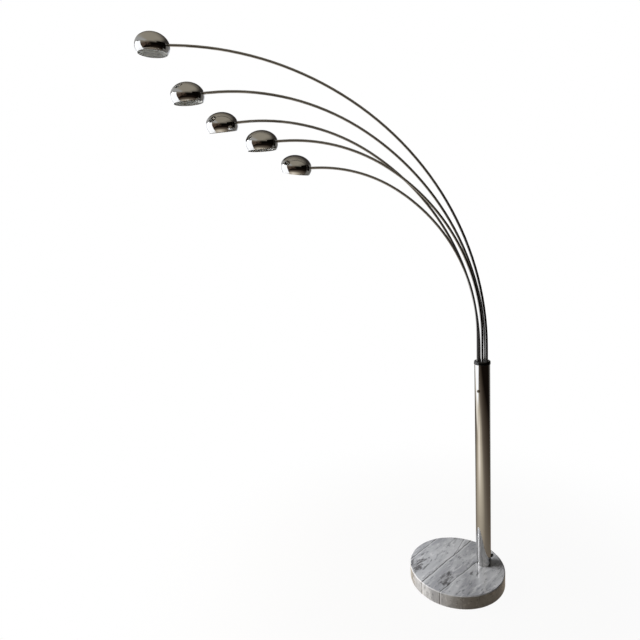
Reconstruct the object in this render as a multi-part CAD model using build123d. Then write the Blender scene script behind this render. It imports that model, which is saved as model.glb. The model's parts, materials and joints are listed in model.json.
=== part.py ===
from build123d import *
import os
from math import asin, cos, degrees, radians, sin, sqrt

# Five-arm arc floor lamp. Millimetres and degrees, +Z up. The origin is the
# centre of the base's underside, on the floor. The pole stands off centre
# towards +X and the arms reach back over the base towards -X.

# Clearances
RUNNING = 0.05          # radial play of turning and screwed fits
SLIP = 0.15             # radial play of pieces that slide into the pole
PLAY = 0.3              # gap between pieces that move past each other
WIRE_PLAY = 0.5         # radial room round a flex
BOLT_PLAY = 0.5         # radial room round a bolt or screw in a plain hole

# Base
BASE_D = 325.0
MARBLE_H = 47.0
MARBLE_EDGE = 3.0       # rounding of the marble's top edge
MARBLE_FOOT = 1.5       # rounding of its bottom edge
FELT_H = 2.0
FELT_INSET = 6.0        # the felt stands back from the marble's side
POLE_INSET = 66.5       # pole axis from the base's side

# Base fixing
BOLT_D = 12.0
BOLT_HEAD_W = 18.0      # across flats
BOLT_HEAD_H = 7.5
BOLT_BITE = 15.0        # thread held by the plug
WASHER_D = 44.0
WASHER_H = 3.0
RECESS_PLAY = 2.0       # radial room round the washer in its recess
RECESS_COVER = 2.5      # the bolt's head lies this deep in the recess
PLUG_H = 18.0

# Pole
POLE_D = 50.0
POLE_WALL = 1.5
POLE_H = 730.0

# Cord gland, at the rear of the pole
GLAND_LIFT = 3.0        # its lip's height above the plug
CORD_HOLE_D = 7.0
GLAND_WALL = 1.5
GLAND_FLANGE_W = 1.6    # how far the flange stands out round the body
GLAND_FLANGE_T = 2.5
GLAND_TAIL = 6.0        # tapered tail behind the flange
GLAND_TAPER = 0.8
GLAND_LIP_W = 1.2       # snap lip inside the pole
GLAND_LIP_T = 2.0

# Cap
CAP_D = 53.0
CAP_H = 11.5
CAP_TOP_R = 3.5
CAP_FOOT_R = 0.8
CAP_SPIGOT = 14.0       # depth inside the pole
CAP_LEAD = 1.0          # chamfer that leads the spigot in

# Arms, numbered from the longest
ARM_D = 8.0
ARM_WALL = 0.9
STEM_CIRCLE_D = 30.0    # the stems stand on this circle
STEM_DEPTH = 80.0       # length of each stem inside the pole
FIRST_TURN = 55.0       # turn of the wide bend, before the tighter one
ARM_TIP = 15.0          # straight end, where the nipple goes in
STEM_HEADING = (144, 216, 288, 72, 0)               # place on the circle, from -X towards -Y
ARM_HEADING = (1.4, 2.7, -0.1, 1.9, -2.5)           # swing towards -Y
ARM_STEM = (62.5, 50.0, 49.0, 95.5, 104.0)          # straight, above the pole
ARM_BEND = (955.0, 861.0, 792.0, 665.0, 580.0)      # radius of the wide bend
ARM_END = (998.0, 741.0, 627.0, 543.0, 459.0)       # radius of the end bend
ARM_SWEEP = (86.4, 92.9, 92.6, 90.9, 88.3)          # whole turn from upright

# Stem block, inside the pole
BLOCK_GRIP = 22.0       # height of the block round the stems
BLOCK_FLOOR = 17.0      # height below their feet
SCREW_D = 6.0
SCREW_LENGTH = 14.0
SCREW_HEAD_D = 10.5
SCREW_HEAD_H = 3.2
SCREW_HEADING = 42.0    # swing of the holder screw from -X towards -Y
HEX_W = 4.0             # its socket, across flats
HEX_DEPTH = 2.0

# Terminal block, under the stem block
TERMINAL_D = 42.0
TERMINAL_H = 16.0
TERMINAL_DEPTH = 8.0    # how far each flex reaches in
TERMINAL_SCREW_D = 4.0
TERMINAL_SCREW_HEAD_D = 7.0
TERMINAL_SCREW_HEAD_H = 2.6
TERMINAL_SCREW_BITE = 7.0

# Flex, nipple, washer and locknut of each arm
FLEX_D = 3.5
NIPPLE_WALL = 0.8
NIPPLE_BITE = 12.0      # length inside the arm
WASHER_W = 3.2          # ring width of the shade's washer
SHADE_WASHER_H = 1.0
LOCKNUT_W = 10.0        # across flats
LOCKNUT_H = 3.5
NIPPLE_OUT = 5.0        # length inside the lampholder

# Lampholder and bulb
HOLDER_D = 17.0
HOLDER_H = 22.0
HOLDER_EDGE = 1.0
HOLDER_RECESS = 7.0
BULB_D = 13.0
BULB_H = 36.0
BULB_NECK_T = 4.0       # flat pinch of the glass
BULB_NECK_H = 10.0
PIN_D = 1.0
PIN_SPACING = 9.0
PIN_H = 5.0

# Shade: half an oval above its widest line, a shorter skirt below
SHADE_D = 100.0
SHADE_RISE = 37.5
SHADE_SKIRT = 17.8
SHADE_CLOSE = 5.0       # how far the skirt draws in to the mouth
SHADE_WALL = 1.0
SHADE_SEAT_H = 18.0     # height of the flat where the arm meets it
SHADE_SEAT_LIFT = 2.5   # height of the arm's end over the widest line
SHADE_BEAD_R = 0.9      # rolled rim
SHADE_ROLL = (-2.5, -4.5, -10.5, -4, -9.5)           # turn about the arm's end
SHADE_TILT = (0, 0, 0, 0, 7)                         # tip upwards on its seat

# Levels and radii that follow
MARBLE_TOP = FELT_H + MARBLE_H
POLE_TOP = MARBLE_TOP + POLE_H
POLE_OFFSET = BASE_D / 2 - POLE_INSET
POLE_R = POLE_D / 2
BORE_R = POLE_R - POLE_WALL
FIT_R = BORE_R - SLIP
RECESS_R = WASHER_D / 2 + RECESS_PLAY
RECESS_H = WASHER_H + BOLT_HEAD_H + RECESS_COVER
GLAND_R = CORD_HOLE_D / 2 + GLAND_WALL
GLAND_Z = MARBLE_TOP + PLUG_H + GLAND_LIFT + GLAND_R + GLAND_LIP_W
STEM_FOOT = POLE_TOP - STEM_DEPTH
BLOCK_BOTTOM = STEM_FOOT - BLOCK_FLOOR
SCREW_Z = STEM_FOOT - BLOCK_FLOOR / 2
STEM_CIRCLE_R = STEM_CIRCLE_D / 2
ARM_R = ARM_D / 2
ARM_BORE_R = ARM_R - ARM_WALL
NIPPLE_R = ARM_BORE_R - RUNNING
SHADE_R = SHADE_D / 2
MOUTH_R = SHADE_R - SHADE_CLOSE
SEAT_OUT = SHADE_R * sqrt(1 - (SHADE_SEAT_H / 2 / SHADE_RISE) ** 2)
SKIRT_RISE = SHADE_SKIRT / sqrt(1 - (MOUTH_R / SHADE_R) ** 2)
SHADE_IN = PLAY + SHADE_WALL                # inner face of the shade's seat
WASHER_IN = SHADE_IN + PLAY
LOCKNUT_IN = WASHER_IN + SHADE_WASHER_H
HOLDER_IN = LOCKNUT_IN + LOCKNUT_H

UPRIGHT = Pos(POLE_OFFSET, 0, 0)


def rod(radius, low, high):
    """A round bar along Z from one level to another."""
    return Pos(0, 0, low) * Cylinder(radius, high - low, align=(Align.CENTER, Align.CENTER, Align.MIN))


def hexagon(width, low, high):
    """A hexagonal bar along Z, its size given across flats."""
    outline = RegularPolygon(width / 2, 6, major_radius=False)
    return Pos(0, 0, low) * extrude(outline, high - low)


def stem_place(heading):
    """A stem's place about the pole's axis."""
    turn = radians(180 + heading)
    return Pos(STEM_CIRCLE_R * cos(turn), STEM_CIRCLE_R * sin(turn), 0)


STEMS = [stem_place(heading) for heading in STEM_HEADING]


# Base

def marble_base():
    disc = rod(BASE_D / 2, FELT_H, MARBLE_TOP)
    disc = fillet(disc.edges().group_by(Axis.Z)[-1], MARBLE_EDGE)
    disc = fillet(disc.edges().group_by(Axis.Z)[0], MARBLE_FOOT)
    hole = rod(BOLT_D / 2 + BOLT_PLAY, 0, MARBLE_TOP)
    recess = rod(RECESS_R, 0, FELT_H + RECESS_H)
    return disc - UPRIGHT * (hole + recess)


def felt_pad():
    return rod(BASE_D / 2 - FELT_INSET, 0, FELT_H) - UPRIGHT * rod(RECESS_R, 0, FELT_H)


def base_washer():
    top = FELT_H + RECESS_H
    ring = rod(WASHER_D / 2, top - WASHER_H, top)
    return UPRIGHT * (ring - rod(BOLT_D / 2 + BOLT_PLAY, 0, top))


def base_bolt():
    seat = FELT_H + RECESS_H - WASHER_H
    head = hexagon(BOLT_HEAD_W, seat - BOLT_HEAD_H, seat)
    crown = rod(BOLT_HEAD_W * 0.56, seat - BOLT_HEAD_H, seat)
    crown = chamfer(crown.edges().group_by(Axis.Z)[0], BOLT_HEAD_H / 6)
    return UPRIGHT * (head & crown) + UPRIGHT * rod(BOLT_D / 2, seat, MARBLE_TOP + BOLT_BITE)


def pole_plug():
    plug = rod(FIT_R, MARBLE_TOP, MARBLE_TOP + PLUG_H)
    plug = chamfer(plug.edges().group_by(Axis.Z)[-1], CAP_LEAD)
    return UPRIGHT * (plug - rod(BOLT_D / 2 + RUNNING, 0, MARBLE_TOP + PLUG_H))


# Pole and what closes it

def gland_axis(low, high, radius):
    """A round bar along the gland's axis, between two distances from the pole's axis."""
    return Pos(0, 0, GLAND_Z) * Rot(0, 90, 0) * rod(radius, low, high)


def screw_axis():
    """Frame of the holder screw: its Z points out of the pole's side."""
    return Pos(0, 0, SCREW_Z) * Rot(0, 0, 180 + SCREW_HEADING) * Rot(0, 90, 0)


def pole():
    tube = rod(POLE_R, MARBLE_TOP, POLE_TOP) - rod(BORE_R, MARBLE_TOP, POLE_TOP)
    tube -= gland_axis(0, POLE_D, GLAND_R + RUNNING)
    tube -= screw_axis() * rod(SCREW_D / 2 + BOLT_PLAY, 0, POLE_D)
    return UPRIGHT * tube


def cord_gland():
    flange_r = GLAND_R + GLAND_FLANGE_W
    body = gland_axis(BORE_R - GLAND_LIP_T, POLE_R + GLAND_FLANGE_T, GLAND_R)
    flange = gland_axis(BORE_R, POLE_R + GLAND_FLANGE_T, flange_r)
    flange -= rod(POLE_R, MARBLE_TOP, POLE_TOP)
    tail = Cone(GLAND_R, GLAND_R - GLAND_TAPER, GLAND_TAIL, align=(Align.CENTER, Align.CENTER, Align.MIN))
    tail = Pos(POLE_R + GLAND_FLANGE_T, 0, GLAND_Z) * Rot(0, 90, 0) * tail
    lip = gland_axis(BORE_R - GLAND_LIP_T, POLE_R, GLAND_R + GLAND_LIP_W)
    lip &= rod(BORE_R, MARBLE_TOP, POLE_TOP)
    bore = gland_axis(0, 2 * POLE_D, CORD_HOLE_D / 2)
    return UPRIGHT * (body + flange + tail + lip - bore)


def arm_cap():
    lip = rod(CAP_D / 2, POLE_TOP, POLE_TOP + CAP_H)
    lip = fillet(lip.edges().group_by(Axis.Z)[-1], CAP_TOP_R)
    lip = fillet(lip.edges().group_by(Axis.Z)[0], CAP_FOOT_R)
    spigot = rod(FIT_R, POLE_TOP - CAP_SPIGOT, POLE_TOP)
    spigot = chamfer(spigot.edges().group_by(Axis.Z)[0], CAP_LEAD)
    holes = rod(ARM_R + RUNNING, POLE_TOP - CAP_SPIGOT, POLE_TOP + CAP_H)
    return UPRIGHT * (lip + spigot - [place * holes for place in STEMS])


def stem_block():
    block = rod(FIT_R, BLOCK_BOTTOM, STEM_FOOT + BLOCK_GRIP)
    sockets = rod(ARM_R + RUNNING, STEM_FOOT, STEM_FOOT + BLOCK_GRIP)
    wires = rod(FLEX_D / 2 + WIRE_PLAY, BLOCK_BOTTOM, STEM_FOOT)
    block -= [place * (sockets + wires) for place in STEMS]
    block -= rod(TERMINAL_SCREW_D / 2 + RUNNING, BLOCK_BOTTOM, BLOCK_BOTTOM + TERMINAL_SCREW_BITE + PLAY)
    block -= screw_axis() * rod(SCREW_D / 2 + RUNNING, POLE_R - SCREW_LENGTH - PLAY, POLE_R)
    return UPRIGHT * block


def holder_screw():
    head = rod(SCREW_HEAD_D / 2, POLE_R, POLE_R + SCREW_HEAD_H)
    head = fillet(head.edges().group_by(Axis.Z)[-1], SCREW_HEAD_H * 0.8)
    top = POLE_R + SCREW_HEAD_H
    head -= hexagon(HEX_W, top - HEX_DEPTH, top)
    return UPRIGHT * screw_axis() * (head + rod(SCREW_D / 2, POLE_R - SCREW_LENGTH, POLE_R))


def terminal_block():
    top = BLOCK_BOTTOM
    block = rod(TERMINAL_D / 2, top - TERMINAL_H, top)
    block = chamfer(block.edges().group_by(Axis.Z)[0], CAP_LEAD)
    entry = rod(FLEX_D / 2 + WIRE_PLAY, top - TERMINAL_DEPTH - PLAY, top)
    block -= [place * entry for place in STEMS]
    block -= rod(TERMINAL_SCREW_D / 2 + BOLT_PLAY, top - TERMINAL_H, top)
    head = TERMINAL_SCREW_HEAD_D / 2 + BOLT_PLAY
    block -= rod(head, top - TERMINAL_H, top - TERMINAL_H + TERMINAL_SCREW_HEAD_H)
    return UPRIGHT * block


def terminal_screw():
    foot = BLOCK_BOTTOM - TERMINAL_H
    head = rod(TERMINAL_SCREW_HEAD_D / 2, foot, foot + TERMINAL_SCREW_HEAD_H)
    shank = rod(TERMINAL_SCREW_D / 2, foot, BLOCK_BOTTOM + TERMINAL_SCREW_BITE)
    return UPRIGHT * (head + shank)


# Arms. Each is drawn in its own frame: origin on its stem's axis at the
# pole's top, X in the direction it reaches, Z up.

def arm_frame(arm):
    return UPRIGHT * STEMS[arm] * Pos(0, 0, POLE_TOP) * Rot(0, 0, 180 + ARM_HEADING[arm])


def on_bend(arm, turn):
    """The centre line's point where it has turned this far from upright."""
    wide = radians(min(turn, FIRST_TURN))
    bend, end = ARM_BEND[arm], ARM_END[arm]
    out, up = bend * (1 - cos(wide)), ARM_STEM[arm] + bend * sin(wide)
    if turn > FIRST_TURN:
        out += end * (cos(wide) - cos(radians(turn)))
        up += end * (sin(radians(turn)) - sin(wide))
    return Vector(out, 0, up)


def tip_plane(arm):
    """Plane where the bend ends: X along the tube, Z up."""
    turn = radians(ARM_SWEEP[arm])
    along, up = (sin(turn), 0, cos(turn)), (-cos(turn), 0, sin(turn))
    return Plane(on_bend(arm, ARM_SWEEP[arm]), x_dir=along, z_dir=up)


def end_frame(arm):
    """Frame at the arm's end face: X along the tube, Z up."""
    return arm_frame(arm) * tip_plane(arm).location * Pos(ARM_TIP, 0, 0)


def swept(arm, radius, foot, tip):
    """A round bar along the arm, from below the pole's top to past the bend's end."""
    turns = (0, FIRST_TURN / 2, FIRST_TURN, (FIRST_TURN + ARM_SWEEP[arm]) / 2, ARM_SWEEP[arm])
    points = [on_bend(arm, turn) for turn in turns]
    end = tip_plane(arm)
    path = Wire([
        Line((0, 0, -foot), points[0]),
        ThreePointArc(*points[:3]),
        ThreePointArc(*points[2:]),
        Line(end.origin, end.origin + end.x_dir * tip),
    ])
    return sweep(Pos(0, 0, -foot) * Circle(radius), path=path)


def arm_tube(arm):
    foot = STEM_DEPTH - PLAY
    tube = swept(arm, ARM_R, foot, ARM_TIP) - swept(arm, ARM_BORE_R, foot, ARM_TIP)
    return arm_frame(arm) * tube


def along_end(low, high, radius):
    """A round bar along the arm's end, in the end's frame."""
    return Rot(0, 90, 0) * rod(radius, low, high)


def flex(arm):
    foot = STEM_DEPTH + BLOCK_FLOOR + TERMINAL_DEPTH
    return arm_frame(arm) * swept(arm, FLEX_D / 2, foot, ARM_TIP + HOLDER_IN + NIPPLE_OUT)


def nipple(arm):
    low, high = -NIPPLE_BITE, HOLDER_IN + NIPPLE_OUT
    tube = along_end(low, high, NIPPLE_R) - along_end(low, high, NIPPLE_R - NIPPLE_WALL)
    return end_frame(arm) * tube


def shade_washer(arm):
    low, high, hole = WASHER_IN, LOCKNUT_IN, NIPPLE_R + RUNNING
    return end_frame(arm) * (along_end(low, high, hole + WASHER_W) - along_end(low, high, hole))


def locknut(arm):
    nut = Rot(0, 90, 0) * hexagon(LOCKNUT_W, LOCKNUT_IN, HOLDER_IN)
    return end_frame(arm) * (nut - along_end(LOCKNUT_IN, HOLDER_IN, NIPPLE_R + RUNNING))


def lampholder(arm):
    front = HOLDER_IN + HOLDER_H
    body = rod(HOLDER_D / 2, HOLDER_IN, front)
    body = fillet(body.edges().group_by(Axis.Z)[-1], HOLDER_EDGE)
    body -= rod(NIPPLE_R + RUNNING, HOLDER_IN, HOLDER_IN + NIPPLE_OUT)
    pocket = Box(BULB_NECK_T + 2 * PLAY, BULB_D, HOLDER_RECESS, align=(Align.CENTER, Align.CENTER, Align.MAX))
    body -= Pos(0, 0, front) * pocket
    pins = rod(PIN_D / 2 + RUNNING, front - HOLDER_RECESS - PIN_H, front - HOLDER_RECESS)
    body -= [Pos(0, side * PIN_SPACING / 2, 0) * pins for side in (-1, 1)]
    return end_frame(arm) * Rot(0, 90, 0) * body


def bulb(arm):
    foot = HOLDER_IN + HOLDER_H - HOLDER_RECESS
    neck_w = BULB_D - 2 * PLAY
    neck = Pos(0, 0, foot) * Box(
        BULB_NECK_T, neck_w, BULB_NECK_H + BULB_NECK_T, align=(Align.CENTER, Align.CENTER, Align.MIN)
    )
    capsule = rod(BULB_D / 2, foot + BULB_NECK_H, foot + BULB_H)
    capsule = fillet(capsule.edges().group_by(Axis.Z)[-1], BULB_D * 0.46)
    capsule = fillet(capsule.edges().group_by(Axis.Z)[0], BULB_D * 0.2)
    pins = [Pos(0, side * PIN_SPACING / 2, 0) * rod(PIN_D / 2, foot - PIN_H, foot) for side in (-1, 1)]
    return end_frame(arm) * Rot(0, 90, 0) * (neck + capsule + pins)


# Shade

def dome(inset, bottom):
    """The oval dome's solid about the centre of its widest line, this far inside its outer face."""
    radius, rise, skirt = SHADE_R - inset, SHADE_RISE - inset, SKIRT_RISE - inset
    drop = degrees(asin(-bottom / skirt))
    upper = EllipticalCenterArc((0, 0), radius, rise, start_angle=0, arc_size=90)
    lower = EllipticalCenterArc((0, 0), radius, skirt, start_angle=-drop, arc_size=drop)
    close = Polyline(upper @ 1, (0, bottom), lower @ 0)
    return revolve(Plane.XZ * make_face([lower, upper, close]), Axis.Z)


def beyond(depth):
    """All the room past this depth from the seat's outer face."""
    room = Box(2 * SHADE_D, 2 * SHADE_D, 2 * SHADE_D, align=(Align.MIN, Align.CENTER, Align.CENTER))
    return Pos(depth, 0, 0) * room


def shade(arm):
    """Drawn in its seat's frame: origin in the middle of the seat, X into the shade."""
    place = Rot(0, -SHADE_TILT[arm], 0) * Pos(SEAT_OUT, 0, -SHADE_SEAT_LIFT)
    shell = place * dome(0, -SHADE_SKIRT) & beyond(0)
    shell -= place * dome(SHADE_WALL, -SHADE_SKIRT - SHADE_WALL) & beyond(SHADE_WALL)
    bead = Torus(MOUTH_R - SHADE_BEAD_R / 2, SHADE_BEAD_R)
    shell += place * Pos(0, 0, -SHADE_SKIRT) * bead
    shell -= along_end(-SHADE_D, SHADE_D / 2, NIPPLE_R + RUNNING)
    return end_frame(arm) * Rot(SHADE_ROLL[arm], 0, 0) * Pos(PLAY, 0, 0) * shell


STAND = {
    "marble_base": marble_base,
    "felt_pad": felt_pad,
    "base_washer": base_washer,
    "base_bolt": base_bolt,
    "pole_plug": pole_plug,
    "pole": pole,
    "cord_gland": cord_gland,
    "arm_cap": arm_cap,
    "stem_block": stem_block,
    "holder_screw": holder_screw,
    "terminal_block": terminal_block,
    "terminal_screw": terminal_screw,
}
PER_ARM = {
    "arm": arm_tube,
    "flex": flex,
    "nipple": nipple,
    "shade_washer": shade_washer,
    "locknut": locknut,
    "lampholder": lampholder,
    "bulb": bulb,
    "shade": shade,
}

os.makedirs("parts", exist_ok=True)
for name, make in STAND.items():
    export_step(make(), f"parts/{name}.step")
for name, make in PER_ARM.items():
    for arm in range(5):
        export_step(make(arm), f"parts/{name}_{arm + 1}.step")
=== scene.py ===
import json
from math import atan2, cos, pi, radians, sin, sqrt

import bmesh
import bpy
from mathutils import Matrix, Vector


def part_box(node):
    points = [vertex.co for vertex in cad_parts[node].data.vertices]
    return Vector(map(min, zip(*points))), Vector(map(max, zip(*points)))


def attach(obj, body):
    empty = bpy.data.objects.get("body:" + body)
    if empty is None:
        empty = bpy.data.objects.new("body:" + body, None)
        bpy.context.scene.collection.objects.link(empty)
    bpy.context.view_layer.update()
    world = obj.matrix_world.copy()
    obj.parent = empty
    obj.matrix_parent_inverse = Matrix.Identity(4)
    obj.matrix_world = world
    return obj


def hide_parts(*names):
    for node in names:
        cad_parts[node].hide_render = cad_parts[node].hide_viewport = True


# Looks of a five-arm arc floor lamp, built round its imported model. Metres and
# degrees, +Z up, -Y the front. The arms are numbered from the longest.

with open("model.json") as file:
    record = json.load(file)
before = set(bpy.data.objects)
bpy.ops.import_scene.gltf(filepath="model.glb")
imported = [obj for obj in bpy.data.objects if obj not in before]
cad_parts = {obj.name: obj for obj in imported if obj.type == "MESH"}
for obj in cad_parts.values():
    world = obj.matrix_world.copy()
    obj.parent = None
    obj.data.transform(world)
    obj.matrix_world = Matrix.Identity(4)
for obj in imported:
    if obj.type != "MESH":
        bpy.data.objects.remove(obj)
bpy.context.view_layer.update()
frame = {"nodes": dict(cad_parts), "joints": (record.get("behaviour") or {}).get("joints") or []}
ARMS = range(1, 6)
MM = 0.001

# Camera
CAMERA_PLACE = (-0.4328, -1.6059, 1.2286)
CAMERA_DROP = 9.511     # it looks down by this much
CAMERA_ROLL = 3.495
CAMERA_LENS = 28.092
SENSOR = 36.0

# Shade, about the centre of its widest line
SHADE_R = 50 * MM
SHADE_RISE = 37.5 * MM
SHADE_SKIRT = 17.8 * MM
MOUTH_R = 45 * MM
SHADE_WALL = 1 * MM
SEAT_H = 18 * MM
SEAT_LIFT = 2.5 * MM    # height of the arm's end over the widest line
BEAD_R = 0.9 * MM
HOLE_R = 3.1 * MM       # where the nipple goes through the seat
SHADE_GAP = 0.3 * MM    # between the arm's end and the shade's seat
SHADE_ROLL = (-2.5, -4.5, -10.5, -4, -9.5)
SHADE_TILT = (0, 0, 0, 0, 7)
SEAT_BEVEL = 0.9 * MM   # softened edge of the pressed seat
SEAT_MERGE = 0.25 * MM  # corners of its outline closer than this become one
SHADE_SIDES = 160
HOLE_SIDES = 48
CRISP_EDGE = 35.0       # faces that meet at more degrees than this keep a crisp edge
NO_LENGTH = 1e-6        # a length under this counts as none
CUT_SNAP = 1e-7         # a cut takes a corner this near to it as its own

# Bulb, measured from the arm's end
BULB_FOOT = 21.1 * MM
BULB_R = 6.5 * MM
BULB_H = 36 * MM
GLASS_WALL = 0.9 * MM
NECK_T = 4 * MM
NECK_H = 10 * MM
PIN_GAP = 9 * MM        # between the bulb's pins, which its leads run to
BULB_SIDES = 40
BULB_RINGS = 36
FILAMENT_FOOT = 1.6 * NECK_H
FILAMENT_R = 0.8 * MM
FILAMENT_H = 11 * MM
FILAMENT_TURNS = 15.0
FILAMENT_WIRE = 0.12 * MM
LEAD_WIRE = 0.25 * MM

# Marble
VEIN_TURN = 43.0        # direction the veins run in, from +X towards +Y
VEINS = (               # offset across the run, lean, width, depth, where it starts
    (36 * MM, -0.012, 2.5 * MM, 1.0, -0.3), (-41.7 * MM, -0.062, 2.1 * MM, 0.85, -0.3),
    (138.5 * MM, 0, 2.1 * MM, 0.9, -0.3), (27.9 * MM, 0.205, 1.7 * MM, 0.8, 0.03),
)
PATCHES = (             # along, across, half length, half width, depth
    (-95 * MM, 97 * MM, 50 * MM, 28 * MM, 1.0), (-35 * MM, 122 * MM, 16 * MM, 6 * MM, 0.9),
    (-84 * MM, -12 * MM, 50 * MM, 19 * MM, 0.9), (-7 * MM, -62 * MM, 9 * MM, 4 * MM, 0.7),
    (-3 * MM, -114 * MM, 7 * MM, 4 * MM, 0.6), (0, -80 * MM, 10 * MM, 3 * MM, 0.6),
    (35 * MM, 8 * MM, 14 * MM, 6 * MM, 0.6), (94 * MM, 4 * MM, 12 * MM, 7 * MM, 0.6),
)
SIDE_END = (46 * MM, 48 * MM)           # heights over which the side gives way to the top
SIDE_SHADE_SPAN = (-60 * MM, 130 * MM)      # stretch of X over which the side gets painted shade, darker and browner
ARRIS_HIGHLIGHT_START = (45.2 * MM, 46.4 * MM)    # heights over which the painted highlight on the rounded edge comes
ARRIS_HIGHLIGHT_END = (48.4 * MM, 48.9 * MM)      # and over which it goes
MARBLE_PALE = (0.54, 0.545, 0.56)
MARBLE_GREY = (0.32, 0.325, 0.345)
MARBLE_WHITE = (0.78, 0.78, 0.79)
MARBLE_SLATE = (0.085, 0.09, 0.1)
# tone of the painted shade on the right of the side
MARBLE_SIDE_SHADE = (0.1, 0.075, 0.045)
MARBLE_DARK = (0.035, 0.03, 0.03)

# Tones of the other finishes
CHROME_CLEAN = (0.55, 0.546, 0.537)
CHROME_WORN = (0.5, 0.494, 0.482)
# the arms' chrome, painted darker than the other chrome as painted shade
ARM_SHADED_CLEAN = (0.3, 0.294, 0.284)
ARM_SHADED_WORN = (0.26, 0.254, 0.244)
LINING_DARK = (0.58, 0.59, 0.585)
LINING_PALE = (0.64, 0.65, 0.645)
BLACK = (0.015, 0.015, 0.015)
BLACK_PALE = (0.03, 0.03, 0.03)

# Studio
WORLD_LIGHT = 0.065                     # strength of the plain light from all round
FLOOR_HALF = 12
FLOOR_BROWN = (0.31, 0.25, 0.175)       # the floor where it takes the lamp's shadow
FLOOR_SHADOW = 0.05                     # share of that floor seen near the lamp, the rest white
FLOOR_FADE = (0.35, 1.3)                # distances over which it fades out
ROOM = (-3.6, 3.4, -4.4, 3.2, 3.1)      # left, right, front, back and top of the cards
WINDOW = (-1.45, 2.3)                   # its front and back on the left side
WALL_FADE = (1.35, 3.6)                 # heights over which a dark wall turns pale
ROOM_LEVEL = 1.58                       # strength of all the cards
FLOOR_SPOT = (-1.0, -0.4)               # where the window's light lands on the floor
FLOOR_REACH = 3.0                       # how far out from there the floor's tones go

# Tones of the cards
SMOKE = (0.27, 0.245, 0.2)
DIM = (0.03, 0.027, 0.024)
LIT = (0.33, 0.33, 0.325)               # ceiling by the window
GREY = (0.15, 0.145, 0.135)
PALE = (0.5, 0.51, 0.54)
DARK = (0.002, 0.0015, 0.001)
UMBER = (0.075, 0.052, 0.038)
DAYLIGHT = (1.12, 1.14, 1.18)
BOARDS = (0.8, 0.75, 0.66)              # sunlit floor by the window
GLARE = (8, 8, 8.2)
FLOOR_TONES = (                         # share of the reach, tone
    (0.08, (0.85, 0.78, 0.68)), (0.2, (0.52, 0.46, 0.37)), (0.32, (0.32, 0.28, 0.22)),
    (0.39, (0.17, 0.145, 0.115)), (0.5, (0.1, 0.08, 0.062)), (0.67, (0.055, 0.043, 0.032)),
    (0.8, (0.03, 0.022, 0.016)), (0.93, (0.006, 0.004, 0.003)),
)


# Shader sums

class Value:
    """A shader socket that takes part in sums, so that a pattern reads as a formula."""

    def __init__(self, paint, socket):
        self.paint = paint
        self.socket = socket

    def sum_with(self, operation, other, first=True):
        pair = (self, other) if first else (other, self)
        settings = {"operation": operation}
        return self.paint.node("ShaderNodeMath", settings, {0: pair[0], 1: pair[1]})

    def __add__(self, other):
        return self.sum_with("ADD", other)

    def __sub__(self, other):
        return self.sum_with("SUBTRACT", other)

    def __mul__(self, other):
        return self.sum_with("MULTIPLY", other)

    def __truediv__(self, other):
        return self.sum_with("DIVIDE", other)

    def __pow__(self, other):
        return self.sum_with("POWER", other)

    def __rsub__(self, other):
        return self.sum_with("SUBTRACT", other, first=False)

    def __rtruediv__(self, other):
        return self.sum_with("DIVIDE", other, first=False)

    def __abs__(self):
        return self.paint.node("ShaderNodeMath", {"operation": "ABSOLUTE"}, {0: self})

    __radd__ = __add__
    __rmul__ = __mul__


class Paint:
    """A material whose nodes are written as calls and sums."""

    def __init__(self, name):
        self.material = bpy.data.materials.new(name)
        self.material.use_nodes = True
        self.tree = self.material.node_tree
        self.tree.nodes.clear()

    def node(self, kind, settings, values, output=0):
        """Any node: its settings first, then its sockets' values or links."""
        made = self.tree.nodes.new(kind)
        for name, setting in settings.items():
            if name == "stops":
                self.set_stops(made.color_ramp, setting)
            else:
                setattr(made, name, setting)
        for name, value in values.items():
            socket = pick(made.inputs, name)
            if isinstance(value, Value):
                self.tree.links.new(value.socket, socket)
            elif socket.type == "RGBA":
                socket.default_value = (*value, 1)
            else:
                socket.default_value = value
        return Value(self, pick(made.outputs, output))

    def set_stops(self, ramp, stops):
        while len(ramp.elements) < len(stops):
            ramp.elements.new(1)
        for element, (place, colour) in zip(ramp.elements, stops):
            element.position = place
            element.color = (*colour, 1)

    def place(self):
        return self.node("ShaderNodeTexCoord", {}, {}, "Object")

    def mapped(self, place, scale=(1, 1, 1), turn=(0, 0, 0)):
        values = {"Vector": place, "Scale": scale, "Rotation": turn}
        return self.node("ShaderNodeMapping", {}, values)

    def parts(self, vector):
        return [self.node("ShaderNodeSeparateXYZ", {}, {0: vector}, axis) for axis in "XYZ"]

    def noise(self, place, scale, detail=4.0, roughness=0.5, distortion=0.0):
        values = {
            "Vector": place, "Scale": scale, "Detail": detail,
            "Roughness": roughness, "Distortion": distortion,
        }
        return self.node("ShaderNodeTexNoise", {}, values, "Fac")

    def step(self, value, low, high):
        """0 below low, 1 above high, smooth between."""
        settings = {"interpolation_type": "SMOOTHSTEP"}
        values = {"Value": value, "From Min": low, "From Max": high}
        return self.node("ShaderNodeMapRange", settings, values)

    def mix(self, factor, first, second):
        """A colour between two."""
        values = {"Factor_Float": factor, "A_Color": first, "B_Color": second}
        return self.node("ShaderNodeMix", {"data_type": "RGBA"}, values, "Result_Color")

    def bump(self, height, strength, distance):
        values = {"Height": height, "Strength": strength, "Distance": distance}
        return self.node("ShaderNodeBump", {}, values)

    def finish(self, shader):
        self.node("ShaderNodeOutputMaterial", {}, {"Surface": shader}, None)
        return self.material

    def surface(self, **values):
        names = {name.replace("_", " "): value for name, value in values.items()}
        return self.finish(self.node("ShaderNodeBsdfPrincipled", {}, names))


def pick(sockets, name):
    """A node's socket by its number, name or identifier."""
    if name is None:
        return None
    if isinstance(name, int):
        return sockets[name]
    return next(socket for socket in sockets if name in (socket.identifier, socket.name))


# Camera, floor and lights

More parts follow.
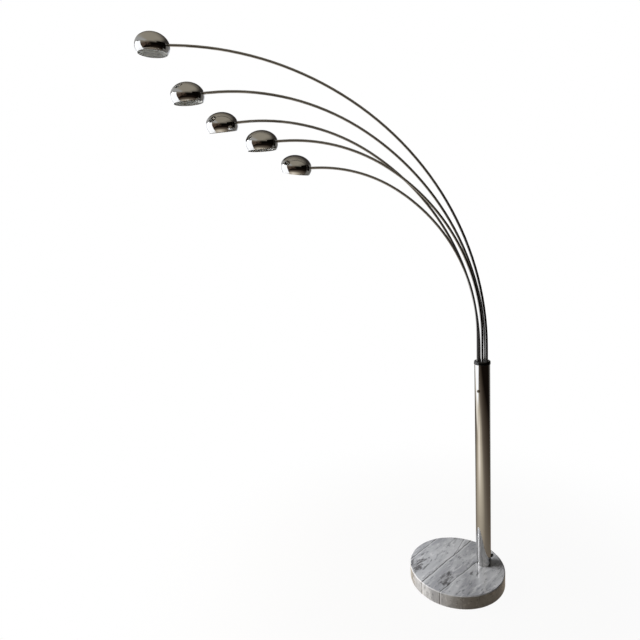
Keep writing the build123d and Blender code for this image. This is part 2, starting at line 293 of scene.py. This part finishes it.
def make_camera():
    camera = bpy.data.objects.new("camera", bpy.data.cameras.new("camera"))
    camera.data.lens = CAMERA_LENS
    camera.data.sensor_width = SENSOR
    tilt = Matrix.Rotation(radians(90 - CAMERA_DROP), 4, "X")
    roll = Matrix.Rotation(radians(-CAMERA_ROLL), 4, "Z")
    camera.matrix_world = Matrix.Translation(CAMERA_PLACE) @ tilt @ roll
    bpy.context.scene.collection.objects.link(camera)
    bpy.context.scene.camera = camera


def make_object(name, mesh, *materials):
    """A new object at the origin, its place in its mesh."""
    for material in materials:
        mesh.materials.append(material)
    made = bpy.data.objects.new(name, mesh)
    bpy.context.scene.collection.objects.link(made)
    return made


def panel(name, corners, material):
    mesh = bpy.data.meshes.new(name)
    mesh.from_pydata([Vector(corner) for corner in corners], [], [(0, 1, 2, 3)])
    made = make_object(name, mesh, material)
    return made


def floor_paint():
    """White floor that shows a little of the lamp's soft shadow near its base."""
    paint = Paint("pale_floor")
    x, y, _ = paint.parts(paint.place())
    far = paint.step((x * x + y * y) ** 0.5, *FLOOR_FADE)
    seen = paint.node("ShaderNodeLightPath", {}, {}, "Is Camera Ray")
    matt = paint.node("ShaderNodeBsdfDiffuse", {}, {"Color": FLOOR_BROWN})
    white = paint.node("ShaderNodeEmission", {}, {"Color": (1, 1, 1)})
    bright = far * FLOOR_SHADOW + (1 - FLOOR_SHADOW)
    values = {"Fac": bright * seen, 1: matt, 2: white}
    return paint.finish(paint.node("ShaderNodeMixShader", {}, values))


def make_floor():
    sides = ((-1, -1), (1, -1), (1, 1), (-1, 1))
    corners = [(FLOOR_HALF * x, FLOOR_HALF * y, 0) for x, y in sides]
    panel("floor", corners, floor_paint())


def make_world():
    """Plain soft light, and white wherever the background shows, also in metal and glass."""
    world = bpy.data.worlds.new("studio")
    world.use_nodes = True
    bpy.context.scene.world = world
    tree = world.node_tree
    ray = tree.nodes.new("ShaderNodeLightPath")
    light = tree.nodes["Background"]
    light.inputs["Color"].default_value = (1, 1, 1, 1)
    total = None
    for output in ("Is Camera Ray", "Is Glossy Ray", "Is Transmission Ray"):
        add = tree.nodes.new("ShaderNodeMath")
        add.operation = "MULTIPLY_ADD"
        add.inputs[1].default_value = 1 - WORLD_LIGHT
        add.inputs[2].default_value = WORLD_LIGHT
        tree.links.new(ray.outputs[output], add.inputs[0])
        if total is not None:
            tree.links.new(total, add.inputs[2])
        total = add.outputs[0]
    tree.links.new(total, light.inputs["Strength"])


def soft_light(name, place, target, size, power):
    """A white, soft-edged light that reflections don't show."""
    light = bpy.data.lights.new(name, "AREA")
    light.shape = "RECTANGLE"
    light.size, light.size_y = size
    light.energy = power
    made = bpy.data.objects.new(name, light)
    made.location = place
    aim = Vector(target) - Vector(place)
    made.rotation_euler = aim.to_track_quat("-Z", "Y").to_euler()
    made.visible_glossy = False
    bpy.context.scene.collection.objects.link(made)


def card(name, corners, tone_of):
    """A studio card that only reflections show, its tone worked out from the place on it."""
    paint = Paint(name)
    tone = tone_of(paint, *paint.parts(paint.place()))
    glow = paint.node("ShaderNodeEmission", {}, {"Color": tone, "Strength": ROOM_LEVEL})
    made = panel(name, corners, paint.finish(glow))
    made.visible_camera = False
    made.visible_diffuse = False
    made.visible_shadow = False
    made.visible_transmission = False


def wall_tone(dark, pale, low, high):
    """Dark below, paler above, with soft warm patches in the dark."""
    def tone(paint, x, y, z):
        cloud = paint.step(paint.noise(paint.place(), 1.1, 3), 0.38, 0.58)
        warm = paint.mix(cloud * paint.step(x, 0.2, -1.8), dark, UMBER)
        return paint.mix(paint.step(z, low, high), warm, pale)
    return tone


def ceiling_tone(paint, x, y, z):
    cloud = paint.noise(paint.place(), 1.2, 3) * 0.6
    deep = paint.mix(paint.step(x * 0.35 + y + cloud, -0.2, 1.9), SMOKE, DIM)
    lit = paint.mix(paint.step(x, -1.5, -2.5), deep, LIT)
    return paint.mix(paint.step(x, 0.2, 2.8) * 0.5, lit, DIM)


def floor_tone(paint, x, y, z):
    """Bright where the window's light lands, brown and dark further out."""
    east, north = x - FLOOR_SPOT[0], y - FLOOR_SPOT[1]
    north = north * 1.15 - abs(north) * 0.15
    reach = (east * east + north * north) ** 0.5
    tone = paint.node("ShaderNodeValToRGB", {"stops": FLOOR_TONES}, {"Fac": reach / FLOOR_REACH})
    behind = paint.step(y, 0.1, 0.7) * paint.step(x, -0.3, 0.3)
    doorway = paint.step(y - x * 0.618, 0.75, 0.95) * paint.step(x, -1.1, -1.4)
    daylit = paint.mix(paint.step(x, -1.6, -1.95), BOARDS, DAYLIGHT)
    return paint.mix(doorway, paint.mix(behind, tone, GREY), daylit)


def window_tone(paint, x, y, z):
    """Daylight under a dim lintel, with a gap of open sky that glares."""
    gap = (1 - paint.step(abs(y - 0.6), 0.2, 0.28)) * paint.step(z, 1.7, 2.1)
    return paint.mix(paint.step(z, 2.8, 2.9) * 0.9, paint.mix(gap, DAYLIGHT, GLARE), DIM)


def right_tone(paint, x, y, z):
    """Dark, grey only towards the back."""
    return paint.mix(paint.step(y + z * 0.3, 2.0, 2.8) * 0.8, DARK, GREY)


def back_tone(paint, x, y, z):
    """Paler towards the window, dark near the ceiling."""
    wall = paint.mix(paint.step(x, 1.1, 0.3), GREY, PALE)
    lit = paint.mix(paint.step(x, -0.8, -1.6), wall, DAYLIGHT)
    return paint.mix(paint.step(z, 2.5, 3.0), lit, DIM)


def curtain_tone(paint, x, y, z):
    return paint.mix(0.5, PALE, PALE)


def make_cards():
    """Floor, ceiling and walls of what the metal reflects. The window is at the left."""
    left, right, front, back, top = ROOM
    near, far = WINDOW

    def wall(name, start, end, tone):
        card(name, [(*start, 0), (*end, 0), (*end, top), (*start, top)], tone)

    level = [(left, front), (right, front), (right, back), (left, back)]
    card("ceiling_card", [(*corner, top) for corner in level], ceiling_tone)
    card("floor_card", [(*corner, MM) for corner in level], floor_tone)
    wall("front_card", (left, front), (right, front), wall_tone(DARK, SMOKE, *WALL_FADE))
    wall("right_card", (right, front), (right, back), right_tone)
    wall("back_card", (left, back), (right, back), back_tone)
    wall("left_front_card", (left, front), (left, near), wall_tone(UMBER, SMOKE, *WALL_FADE))
    wall("window_card", (left, near), (left, far), window_tone)
    wall("curtain_card", (left, far), (left, back), curtain_tone)


# Finishes

def chrome(name, clean, worn, along=(1, 1, 1)):
    """Polished chrome plate, faintly smeared and dusty. A scale draws out its hairlines."""
    paint = Paint(name)
    place = paint.place()
    smear = paint.step(paint.noise(place, 11, 5, 0.6), 0.45, 0.8)
    hair = paint.noise(paint.mapped(place, scale=along), 900, 2)
    dust = paint.step(paint.noise(place, 420, 2, 0.7), 0.68, 0.8)
    ripple = paint.noise(place, 26, 2)
    return paint.surface(
        Base_Color=paint.mix(smear, clean, worn),
        Metallic=1.0,
        Roughness=smear * 0.035 + hair * 0.02 + dust * 0.08 + 0.025,
        Normal=paint.bump(ripple, 0.12, 0.0003),
    )


def shade_lining():
    """Matt grey lining of the shades, with a faint spun grain."""
    paint = Paint("shade_lining")
    place = paint.place()
    grain = paint.noise(place, 700, 4, 0.7)
    cloud = paint.noise(place, 30, 3)
    return paint.surface(
        Base_Color=paint.mix(cloud, LINING_DARK, LINING_PALE),
        Roughness=grain * 0.2 + 0.5,
        Normal=paint.bump(cloud, 0.05, 0.0003),
    )


def marble():
    """Polished grey marble: soft clouds, dark patches and long veins, all on one slant. Painted
    shade browns the right of its side, and a painted highlight pales its rounded edge.
    """
    paint = Paint("veined_marble")
    place = paint.place()
    turned = paint.mapped(place, turn=(0, 0, radians(-VEIN_TURN)))
    warp = paint.noise(place, 12, 4, 0.6) - 0.5
    wander = paint.noise(place, 45, 3, 0.6) - 0.5
    along, across, up = paint.parts(turned)
    drawn = paint.mapped(turned, scale=(0.28, 1, 0.5))
    cloud = paint.noise(drawn, 17, 6, 0.62, 0.6)
    streak = paint.noise(drawn, 75, 5, 0.62, 0.6)
    smoke = paint.noise(drawn, 48, 5, 0.62, 0.8)
    speck = paint.noise(paint.mapped(turned, scale=(0.33, 1, 1)), 110, 4, 0.6)
    tone = paint.mix(paint.step(cloud, 0.36, 0.64), MARBLE_GREY, MARBLE_PALE)
    tone = paint.mix(paint.step(streak, 0.5, 0.68) * 0.5, tone, MARBLE_WHITE)
    tone = paint.mix(paint.step(smoke, 0.55, 0.68) * 0.5, tone, MARBLE_SLATE)
    tone = paint.mix(paint.step(speck, 0.56, 0.69) * 0.6, tone, MARBLE_SLATE)
    ragged = paint.step(smoke, 0.38, 0.56)
    broken = paint.step(speck, 0.54, 0.4) * 0.6
    side = 1 - paint.step(up, *SIDE_END)
    for run, offset, half_length, half_width, depth in PATCHES:
        reach = (((along - run) / half_length) ** 2 + ((across - offset) / half_width) ** 2) ** 0.5
        patch = 1 - paint.step(reach + (0.52 - smoke) * 5 + wander, 0.4, 1.2)
        tone = paint.mix(patch * (0.95 - broken) * depth, tone, MARBLE_DARK)
    for offset, lean, width, depth, start in VEINS:
        off = across - along * lean - offset + warp * 0.009 + wander * 0.005
        drawn_in = paint.step(along, start, start + 20 * MM) * depth
        line = 1 - paint.step(abs(off), width * 0.3, width)
        halo = 1 - paint.step(abs(off + 1.9 * width), width * 0.4, width * 1.2)
        tone = paint.mix(halo * drawn_in * (side * 0.5 + 0.4), tone, MARBLE_WHITE)
        tone = paint.mix(line * (ragged * 0.3 + 0.7) * drawn_in, tone, MARBLE_DARK)
    # painted shade: the side is darkened and browned towards its right
    right = paint.parts(place)[0]
    tone = paint.mix(side * paint.step(right, *SIDE_SHADE_SPAN) * 0.42, tone, MARBLE_SIDE_SHADE)
    # painted highlight: a paler band along the rounded top edge
    arris_highlight = paint.step(up, *ARRIS_HIGHLIGHT_START) * (1 - paint.step(up, *ARRIS_HIGHLIGHT_END))
    return paint.surface(
        Base_Color=paint.mix(arris_highlight * 0.5, tone, MARBLE_WHITE),
        Roughness=paint.noise(place, 60, 3) * 0.06 + 0.05,
        Normal=paint.bump(streak, 0.03, 0.0003),
        Coat_Weight=1.0,
        Coat_Roughness=0.02,
    )


def felt():
    paint = Paint("black_felt")
    fibre = paint.noise(paint.place(), 1400, 6, 0.8)
    return paint.surface(
        Base_Color=paint.mix(fibre, (0.01, 0.01, 0.01), (0.05, 0.05, 0.05)),
        Roughness=0.95,
        Normal=paint.bump(fibre, 0.6, 0.0005),
    )


def moulded(name, dark, pale, dull, grain):
    """A moulded or cast finish: two close tones, how dull it is and how fine its grain."""
    paint = Paint(name)
    place = paint.place()
    cloud = paint.noise(place, 35, 4)
    rough = paint.noise(place, grain, 4, 0.6)
    return paint.surface(
        Base_Color=paint.mix(cloud, dark, pale),
        Roughness=rough * 0.12 + dull,
        Normal=paint.bump(rough, 0.15, 0.0002),
    )


def plated(name, tone, worn, dull):
    """Plain metal: its tone turns worn and duller in patches."""
    paint = Paint(name)
    place = paint.place()
    patch = paint.step(paint.noise(place, 60, 5, 0.65), 0.4, 0.7)
    rough = paint.noise(place, 800, 3)
    return paint.surface(
        Base_Color=paint.mix(patch, tone, worn),
        Metallic=1.0,
        Roughness=patch * 0.12 + rough * 0.08 + dull,
        Normal=paint.bump(rough, 0.2, 0.0001),
    )


def clear_glass():
    paint = Paint("bulb_glass")
    ripple = paint.noise(paint.place(), 90, 3)
    return paint.surface(
        Base_Color=(0.97, 0.98, 0.98),
        Transmission_Weight=1.0,
        IOR=1.47,
        Roughness=paint.step(ripple, 0.6, 0.8) * 0.05 + 0.01,
        Normal=paint.bump(ripple, 0.1, 0.0002),
    )


# Shades

def arm_end(number):
    """Frame at an arm's end: X along the tube, Z up. Its hinge is there."""
    hinge = next(joint for joint in frame["joints"] if joint["name"] == f"shade_{number}_turn")
    along = Vector(hinge["axis"]).normalized()
    up = (Vector((0, 0, 1)) - along * along.z).normalized()
    turn = Matrix((along, up.cross(along), up)).transposed().to_4x4()
    return Matrix.Translation(hinge["pos_m"]) @ turn


def oval(inset, first, last, steps):
    """Part of the shade's section, between two angles above its widest line."""
    skirt = SHADE_SKIRT / sqrt(1 - (MOUTH_R / SHADE_R) ** 2)
    points = []
    for step in range(steps + 1):
        angle = radians(first + (last - first) * step / steps)
        rise = (SHADE_RISE if angle > 0 else skirt) - inset
        points.append(((SHADE_R - inset) * cos(angle), rise * sin(angle)))
    return points


def bead(first, last, steps):
    """Section of the rolled rim."""
    middle = MOUTH_R - BEAD_R / 2
    turns = [radians(first + (last - first) * step / steps) for step in range(steps + 1)]
    return [(middle + BEAD_R * cos(turn), BEAD_R * sin(turn) - SHADE_SKIRT) for turn in turns]


def revolve(mesh, outline, sides, slot_of):
    """Turns a section of (radius, height) points about Z. A point on the axis stays one corner."""
    rings = []
    for radius, height in outline:
        turns = [2 * pi * side / sides for side in range(sides if radius > NO_LENGTH else 1)]
        places = [(radius * cos(turn), radius * sin(turn), height) for turn in turns]
        rings.append([mesh.verts.new(place) for place in places])
    for row, (ring, after) in enumerate(zip(rings, rings[1:])):
        for near in range(sides):
            far = (near + 1) % sides
            corners = (
                ring[near % len(ring)], after[near % len(after)],
                after[far % len(after)], ring[far % len(ring)],
            )
            face = mesh.faces.new(dict.fromkeys(corners))
            face.material_index = slot_of(row)


def strip(mesh, near, far):
    """Faces between two rings that go round X, each corner joined to its nearest by angle."""
    def angle(corner):
        return atan2(corner.co.z, corner.co.y)

    near, far = (sorted(ring, key=angle) for ring in (near, far))
    near_turns, far_turns = ([*map(angle, ring), angle(ring[0]) + 2 * pi] for ring in (near, far))
    first = second = 0
    faces = []
    while first < len(near) or second < len(far):
        here, there = near[first % len(near)], far[second % len(far)]
        far_done = second == len(far)
        if far_done or (first < len(near) and near_turns[first + 1] <= far_turns[second + 1]):
            first += 1
            faces.append(mesh.faces.new((here, near[first % len(near)], there)))
        else:
            second += 1
            faces.append(mesh.faces.new((here, far[second % len(far)], there)))
    return faces


def seat(mesh, slot, depth):
    """Cuts one skin flat at this depth, closes it round the nipple's hole, returns the hole."""
    skin = [face for face in mesh.faces if face.material_index == slot]
    edges = dict.fromkeys(edge for face in skin for edge in face.edges)
    corners = dict.fromkeys(corner for face in skin for corner in face.verts)
    bmesh.ops.bisect_plane(
        mesh, geom=[*skin, *edges, *corners], dist=CUT_SNAP,
        plane_co=(depth, 0, 0), plane_no=(-1, 0, 0), clear_outer=True,
    )

    def in_cut(corner):
        return abs(corner.co.x - depth) < NO_LENGTH

    brink = [corner for corner in mesh.verts if corner.is_boundary and in_cut(corner)]
    bmesh.ops.remove_doubles(mesh, verts=brink, dist=SEAT_MERGE)
    brink = [corner for corner in brink if corner.is_valid]
    soften = mesh.edges.layers.float["bevel_weight_edge"]
    for edge in mesh.edges:
        if edge.is_boundary and in_cut(edge.verts[0]):
            edge[soften] = 1.0
    turns = [2 * pi * side / HOLE_SIDES for side in range(HOLE_SIDES)]
    hole = [mesh.verts.new((depth, HOLE_R * cos(turn), HOLE_R * sin(turn))) for turn in turns]
    for face in strip(mesh, brink, hole):
        face.material_index = slot
    return hole


def make_shade(number, outside, inside):
    """A pressed dome: polished outside, matt inside, rolled at the rim, flat at its seat."""
    outer = oval(0, first=90, last=-29.9, steps=62)
    rim = bead(first=33, last=-260, steps=18)
    lining = oval(SHADE_WALL, first=-30.1, last=90, steps=50)
    outline = outer + rim + lining
    outline[0] = (0, outline[0][1])     # both skins close on the axis
    outline[-1] = (0, outline[-1][1])
    first_inside = len(outline) - len(lining)
    mesh = bmesh.new()
    mesh.edges.layers.float.new("bevel_weight_edge")
    revolve(mesh, outline, SHADE_SIDES, lambda row: int(row >= first_inside))
    seat_out = SHADE_R * sqrt(1 - (SEAT_H / 2 / SHADE_RISE) ** 2)
    tilt = Matrix.Rotation(radians(-SHADE_TILT[number - 1]), 4, "Y")
    mesh.transform(tilt @ Matrix.Translation((seat_out, 0, -SEAT_LIFT)))
    strip(mesh, seat(mesh, 0, 0), seat(mesh, 1, SHADE_WALL))
    bmesh.ops.recalc_face_normals(mesh, faces=mesh.faces)
    roll = Matrix.Rotation(radians(SHADE_ROLL[number - 1]), 4, "X")
    mesh.transform(arm_end(number) @ roll @ Matrix.Translation((SHADE_GAP, 0, 0)))
    return solid_piece(f"dome_{number}", mesh, outside, inside)


def solid_piece(name, mesh, *materials):
    """Turns a bmesh into an object with smooth faces and crisp edges."""
    data = bpy.data.meshes.new(name)
    mesh.to_mesh(data)
    mesh.free()
    data.shade_smooth()
    data.set_sharp_from_angle(angle=radians(CRISP_EDGE))
    return make_object(name, data, *materials)


def soften_seat(piece):
    bevel = piece.modifiers.new("seat_edge", "BEVEL")
    bevel.limit_method = "WEIGHT"
    bevel.width = SEAT_BEVEL
    bevel.segments = 3


# Bulbs

def lofted(mesh, sections, sides, inward=False):
    """Skins a row of rings across X: (place, half width, half thickness, squareness)."""
    rings = []
    for place, wide, thick, square in sections:
        ring = []
        for side in range(sides):
            turn = 2 * pi * side / sides
            y = wide * abs(cos(turn)) ** (2 / square) * (1 if cos(turn) > 0 else -1)
            z = thick * abs(sin(turn)) ** (2 / square) * (1 if sin(turn) > 0 else -1)
            ring.append(mesh.verts.new((place, y, z)))
        rings.append(ring)
    for ring, after in zip(rings, rings[1:]):
        for side in range(sides):
            far = (side + 1) % sides
            corners = (ring[side], ring[far], after[far], after[side])
            mesh.faces.new(corners[::-1] if inward else corners)
    mesh.faces.new(rings[-1][::-1] if inward else rings[-1])
    mesh.faces.new(rings[0] if inward else rings[0][::-1])


def capsule(inset, first, last):
    """Rings of the bulb's glass between two distances from its foot: pinched flat, then round."""
    rings = []
    for step in range(BULB_RINGS + 1):
        place = first + (last - first) * (1 - cos(pi * step / BULB_RINGS)) / 2
        opened = smooth((place - NECK_H) / (0.7 * NECK_H))
        tip = max(0, (place - last + BULB_R) / BULB_R)
        close = sqrt(max(0.0009, 1 - tip * tip))    # the last ring keeps a small width
        wide = (BULB_R - 0.3 * MM - inset) * close
        thick = (NECK_T / 2 + (BULB_R - NECK_T / 2) * opened - inset) * close
        rings.append((place, wide, thick, 5 - 3 * opened))
    return rings


def smooth(value):
    value = min(1, max(0, value))
    return value * value * (3 - 2 * value)


def make_bulb(number, glass):
    mesh = bmesh.new()
    hollow = capsule(GLASS_WALL, NECK_H * 1.15, BULB_H - GLASS_WALL)
    lofted(mesh, capsule(0, 0, BULB_H), BULB_SIDES)
    lofted(mesh, hollow, BULB_SIDES, inward=True)
    mesh.transform(arm_end(number) @ Matrix.Translation((BULB_FOOT, 0, 0)))
    return solid_piece(f"capsule_{number}", mesh, glass)


# What repeats or follows a path is grown by Geometry Nodes

class Growth:
    """A Geometry Nodes tree written as calls."""

    def __init__(self, name, **inputs):
        self.group = bpy.data.node_groups.new(name, "GeometryNodeTree")
        face = self.group.interface
        face.new_socket("Geometry", in_out="INPUT", socket_type="NodeSocketGeometry")
        face.new_socket("Geometry", in_out="OUTPUT", socket_type="NodeSocketGeometry")
        for label, kind in inputs.items():
            face.new_socket(label, in_out="INPUT", socket_type=f"NodeSocket{kind}")
        self.source = self.group.nodes.new("NodeGroupInput")

    def given(self, label):
        return self.source.outputs[label]

    def node(self, kind, values, **settings):
        made = self.group.nodes.new(kind)
        for name, setting in settings.items():
            setattr(made, name, setting)
        for name, value in values.items():
            socket = pick(made.inputs, name)
            if isinstance(value, bpy.types.NodeSocket):
                self.group.links.new(value, socket)
            else:
                socket.default_value = value
        return made.outputs[0]

    def ring(self, sides, radius):
        values = {"Resolution": sides, "Radius": radius}
        return self.node("GeometryNodeCurvePrimitiveCircle", values)

    def bar(self, path, section, caps=True):
        """A solid bar of this section along a path."""
        values = {"Curve": path, "Profile Curve": section, "Fill Caps": caps}
        return self.node("GeometryNodeCurveToMesh", values)

    def close(self, geometry):
        """Ends the tree: smooth faces, real geometry, one material."""
        rounded = self.node("GeometryNodeSetShadeSmooth", {0: geometry})
        real = self.node("GeometryNodeRealizeInstances", {0: rounded})
        values = {"Geometry": real, "Material": self.given("Finish")}
        done = self.node("GeometryNodeSetMaterial", values)
        out = self.group.nodes.new("NodeGroupOutput")
        self.group.links.new(done, out.inputs["Geometry"])
        return self.group


def grow(name, source, tree, place, **inputs):
    """Runs a tree on a source object and keeps the result as a plain mesh."""
    holder = bpy.data.objects.new(name, source)
    bpy.context.scene.collection.objects.link(holder)
    modifier = holder.modifiers.new("growth", "NODES")
    modifier.node_group = tree
    given = [item for item in tree.interface.items_tree if item.in_out == "INPUT"]
    sockets = {item.name: item.identifier for item in given}
    for label, value in inputs.items():
        modifier[sockets[label]] = value
    graph = bpy.context.evaluated_depsgraph_get()
    mesh = bpy.data.meshes.new_from_object(holder.evaluated_get(graph))
    bpy.data.objects.remove(holder)
    mesh.transform(place)
    mesh.name = name
    return make_object(name, mesh)


def coil_tree():
    """A round wire wound on a helix."""
    tree = Growth(
        "wound_wire",
        Radius="Float", Height="Float", Turns="Float", Wire="Float", Finish="Material",
    )
    values = {
        "Resolution": 24, "Rotations": tree.given("Turns"), "Height": tree.given("Height"),
        "Start Radius": tree.given("Radius"), "End Radius": tree.given("Radius"),
    }
    helix = tree.node("GeometryNodeCurveSpiral", values)
    return tree.close(tree.bar(helix, tree.ring(8, tree.given("Wire"))))


def wire_tree():
    """A round wire along a drawn path."""
    tree = Growth("bent_wire", Wire="Float", Finish="Material")
    return tree.close(tree.bar(tree.given("Geometry"), tree.ring(12, tree.given("Wire"))))


def ring_row_tree():
    """Round rings in a row along X, each smaller than the one before."""
    tree = Growth(
        "ring_row",
        Count="Int", Pitch="Float", Radius="Float", Taper="Float", Section="Float",
        Finish="Material",
    )
    row = tree.node("GeometryNodeMeshLine", {"Count": tree.given("Count"), "Offset": (0, 0, 0)})
    index = tree.node("GeometryNodeInputIndex", {})
    along = tree.node("ShaderNodeMath", {0: index, 1: tree.given("Pitch")}, operation="MULTIPLY")
    shrink = tree.node("ShaderNodeMath", {0: index, 1: tree.given("Taper")}, operation="MULTIPLY")
    size = tree.node("ShaderNodeMath", {0: 1.0, 1: shrink}, operation="SUBTRACT")
    spot = tree.node("ShaderNodeCombineXYZ", {"X": along})
    placed = tree.node("GeometryNodeSetPosition", {"Geometry": row, "Position": spot})
    hoop = tree.ring(48, tree.given("Radius"))
    ring = tree.bar(hoop, tree.ring(10, tree.given("Section")), caps=False)
    values = {"Geometry": ring, "Rotation": (0, pi / 2, 0)}
    upright = tree.node("GeometryNodeTransform", values)
    values = {"Points": placed, "Instance": upright, "Scale": size}
    return tree.close(tree.node("GeometryNodeInstanceOnPoints", values))


def drawn_path(name, points):
    """A smooth curve through a few points."""
    curve = bpy.data.curves.new(name, "CURVE")
    curve.dimensions = "3D"
    curve.resolution_u = 8
    line = curve.splines.new("BEZIER")
    line.bezier_points.add(len(points) - 1)
    for knot, point in zip(line.bezier_points, points):
        knot.co = point
        knot.handle_left_type = knot.handle_right_type = "AUTO"
    return curve


def make_filament(number, foot, coil, finish):
    lying = foot @ Matrix.Rotation(pi / 2, 4, "Y")
    return grow(
        f"filament_{number}", bpy.data.meshes.new("none"), coil, lying,
        Radius=FILAMENT_R, Height=FILAMENT_H, Turns=FILAMENT_TURNS, Wire=FILAMENT_WIRE,
        Finish=finish,
    )


def make_leads(number, foot, wire, finish):
    """The two wires that run from the bulb's neck to the ends of its filament."""
    near = (0.2 * MM, 0, FILAMENT_R)
    far = (FILAMENT_H, 0, FILAMENT_R)
    leads = []
    for label, side, end in (("near", -1, near), ("far", 1, far)):
        start = (-0.9 * NECK_H, side * PIN_GAP / 4, 0)
        bow = (-0.1 * NECK_H, side * PIN_GAP / 4, 0)
        reach = (end[0] - 1.5 * MM, side * PIN_GAP / 5, end[2])
        path = drawn_path("lead", [start, bow, reach, end])
        name = f"lead_{number}_{label}"
        leads.append(grow(name, path, wire, foot, Wire=LEAD_WIRE, Finish=finish))
    return leads


def make_ribs(tree, finish):
    """Shallow grip ribs round the tail of the cord gland."""
    low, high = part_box("cord_gland")
    tail = Matrix.Translation((high.x - 5 * MM, 0, (low.z + high.z) / 2))
    return grow(
        "gland_ribs", bpy.data.meshes.new("none"), tree, tail,
        Count=4, Pitch=1.35 * MM, Radius=4.75 * MM, Taper=0.03, Section=0.35 * MM,
        Finish=finish,
    )


def dress(material, *nodes):
    """Gives CAD nodes a finish by their material slots."""
    for name in nodes:
        for place in frame["nodes"][name].material_slots:
            place.material = material


def each(name):
    return [f"{name}_{number}" for number in ARMS]


def fit(piece, body, slot, *nodes):
    """Rides a finished piece on its body, in place of the CAD nodes named."""
    if nodes:
        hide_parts(*nodes)
    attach(piece, body)


# Build

bpy.context.scene.view_settings.view_transform = "Standard"
make_camera()
make_world()
make_floor()
make_cards()
soft_light(
    "window_light", place=(-1.8, 0.25, 0.95), target=(0, 0, 0.2), size=(1.2, 1.1), power=64
)
soft_light(
    "top_light", place=(-1.4, 0.7, 2.9), target=(0, 0, 0.4), size=(2.0, 2.0), power=7
)

pole_chrome = chrome("pole_chrome", CHROME_CLEAN, CHROME_WORN, along=(1, 1, 0.02))
# the arms' chrome is painted darker, as painted shade
arm_chrome = chrome("arm_chrome", ARM_SHADED_CLEAN, ARM_SHADED_WORN)
shade_chrome = chrome("shade_chrome", CHROME_CLEAN, CHROME_WORN)
lining = shade_lining()
black_gloss = moulded("black_gloss", (0.002, 0.002, 0.002), (0.004, 0.004, 0.004), 0.04, 500)
black_nylon = moulded("black_nylon", BLACK, BLACK_PALE, 0.38, 900)
white_nylon = moulded("white_nylon", (0.62, 0.61, 0.57), (0.7, 0.69, 0.65), 0.4, 900)
porcelain = moulded("porcelain", (0.68, 0.66, 0.6), (0.78, 0.76, 0.71), 0.3, 1200)
flex_sheath = moulded("flex_sheath", BLACK, BLACK_PALE, 0.5, 1500)
black_screw = plated("black_screw", (0.13, 0.115, 0.085), (0.2, 0.175, 0.13), 0.16)
zinc = plated("zinc_plate", (0.62, 0.62, 0.63), (0.5, 0.5, 0.5), 0.24)
brass = plated("plain_brass", (0.72, 0.55, 0.26), (0.55, 0.41, 0.2), 0.2)
tungsten = plated("tungsten", (0.32, 0.31, 0.3), (0.24, 0.23, 0.22), 0.3)
glass = clear_glass()

dress(marble(), "marble_base")
dress(felt(), "felt_pad")
dress(pole_chrome, "pole")
dress(arm_chrome, *each("arm"))
dress(black_gloss, "arm_cap")
dress(black_nylon, "cord_gland")
dress(black_screw, "holder_screw")
dress(white_nylon, "stem_block", "terminal_block")
dress(zinc, "base_washer", "base_bolt", "pole_plug", "terminal_screw", *each("shade_washer"))
dress(brass, *each("nipple"), *each("locknut"))
dress(porcelain, *each("lampholder"))
dress(flex_sheath, *each("flex"))

coil = coil_tree()
wire = wire_tree()
for number in ARMS:
    dome = make_shade(number, shade_chrome, lining)
    soften_seat(dome)
    fit(dome, f"shade_{number}_body", f"shade_{number}", f"shade_{number}")

    body = f"arm_{number}_body"
    fit(make_bulb(number, glass), body, "bulb_glass", f"bulb_{number}")
    foot = arm_end(number) @ Matrix.Translation((BULB_FOOT + FILAMENT_FOOT, 0, 0))
    fit(make_filament(number, foot, coil, tungsten), body, "zinc_steel")
    for lead in make_leads(number, foot, wire, tungsten):
        fit(lead, body, "zinc_steel")

fit(make_ribs(ring_row_tree(), black_nylon), "stand", "black_nylon")
